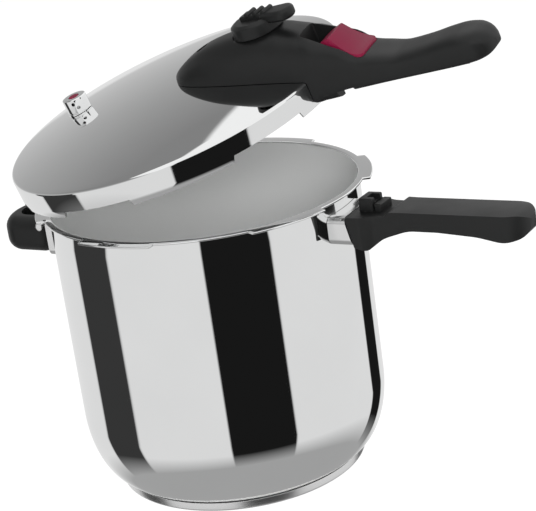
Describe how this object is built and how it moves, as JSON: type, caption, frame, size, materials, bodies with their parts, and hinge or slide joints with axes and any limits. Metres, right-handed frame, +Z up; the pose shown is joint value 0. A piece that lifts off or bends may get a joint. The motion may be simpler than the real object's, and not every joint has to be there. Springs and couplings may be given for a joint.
{
  "type": "stovetop pressure cooker",
  "caption": "Tall polished steel pressure cooker with a bayonet lid held open above it, black handles, a pressure selector and a sliding lock.",
  "frame": {"origin": "middle of the pot's base, on the hob or table it stands on", "axes": "+Z up along the pot's axis, +X along the pot's long handle, +Y to the left of that handle seen from its end"},
  "size_m": [0.4189, 0.2462, 0.3423],
  "materials": {
    "mirror_steel": "mirror-polished stainless steel",
    "satin_steel": "satin stainless steel",
    "aluminium": "plain",
    "brass": "turned",
    "bakelite": "moulded black, satin",
    "burgundy": "moulded burgundy, satin",
    "silicone": "grey silicone"
  },
  "bodies": {
    "pot": {"pot_body": "mirror_steel", "base_core": "aluminium", "base_cap": "mirror_steel", "pot_bracket": "satin_steel", "pot_flame_guard": "mirror_steel", "pot_handle": "bakelite", "pot_handle_screw": "satin_steel", "helper_bracket": "satin_steel", "helper_flame_guard": "mirror_steel", "helper_handle": "bakelite", "helper_pin": "mirror_steel"},
    "seal": {"gasket": "silicone"},
    "lid": {"lid_shell": "mirror_steel", "lid_handle": "bakelite", "lid_handle_cover": "bakelite", "cover_screw": "satin_steel", "lid_screw_left": "satin_steel", "lid_screw_right": "satin_steel", "valve_body": "brass", "valve_nut": "satin_steel", "safety_body": "mirror_steel", "safety_nut": "satin_steel", "lock_spring": "satin_steel", "valve_spring": "satin_steel", "safety_spring": "satin_steel"},
    "selector": {"selector_knob": "bakelite"},
    "plunger": {"valve_plunger": "satin_steel"},
    "indicator": {"indicator_pin": "burgundy", "indicator_seal": "silicone"},
    "lock": {"lock_button": "burgundy", "lock_bolt": "satin_steel"},
    "relief": {"safety_stem": "satin_steel", "safety_button": "burgundy"}
  },
  "joints": [
    {"name": "lid_swing", "type": "hinge", "parent": "pot", "child": "seal", "pos_m": [-0.13899, -0.14905, 0.2043], "axis": [0.7305, -0.6812, 0.048], "range_deg": [-16.3, 14]},
    {"name": "lid_turn", "type": "hinge", "parent": "seal", "child": "lid", "pos_m": [-0.00989, -0.00662, 0.27305], "axis": [-0.1898, -0.2063, 0.9599], "range_deg": [-30, 0]},
    {"name": "selector_turn", "type": "hinge", "parent": "lid", "child": "selector", "pos_m": [0.07178, -0.01443, 0.32398], "axis": [-0.1898, -0.2063, 0.9599], "range_deg": [0, 90]},
    {"name": "plunger_lift", "type": "slide", "parent": "lid", "child": "plunger", "axis": [-0.1898, -0.2063, 0.9599], "range_m": [0, 0.003], "stiffness_N_per_m": 300, "springref_m": -0.002, "deforming": ["valve_spring"]},
    {"name": "indicator_rise", "type": "slide", "parent": "lid", "child": "indicator", "axis": [-0.1898, -0.2063, 0.9599], "range_m": [0, 0.006]},
    {"name": "lock_slide", "type": "slide", "parent": "lid", "child": "lock", "axis": [0.9813, -0.0065, 0.1926], "range_m": [-0.007, 0], "deforming": ["lock_spring"]},
    {"name": "relief_lift", "type": "slide", "parent": "lid", "child": "relief", "axis": [-0.1898, -0.2063, 0.9599], "range_m": [0, 0.0025], "stiffness_N_per_m": 800, "springref_m": -0.002, "deforming": ["safety_spring"]}
  ]
}
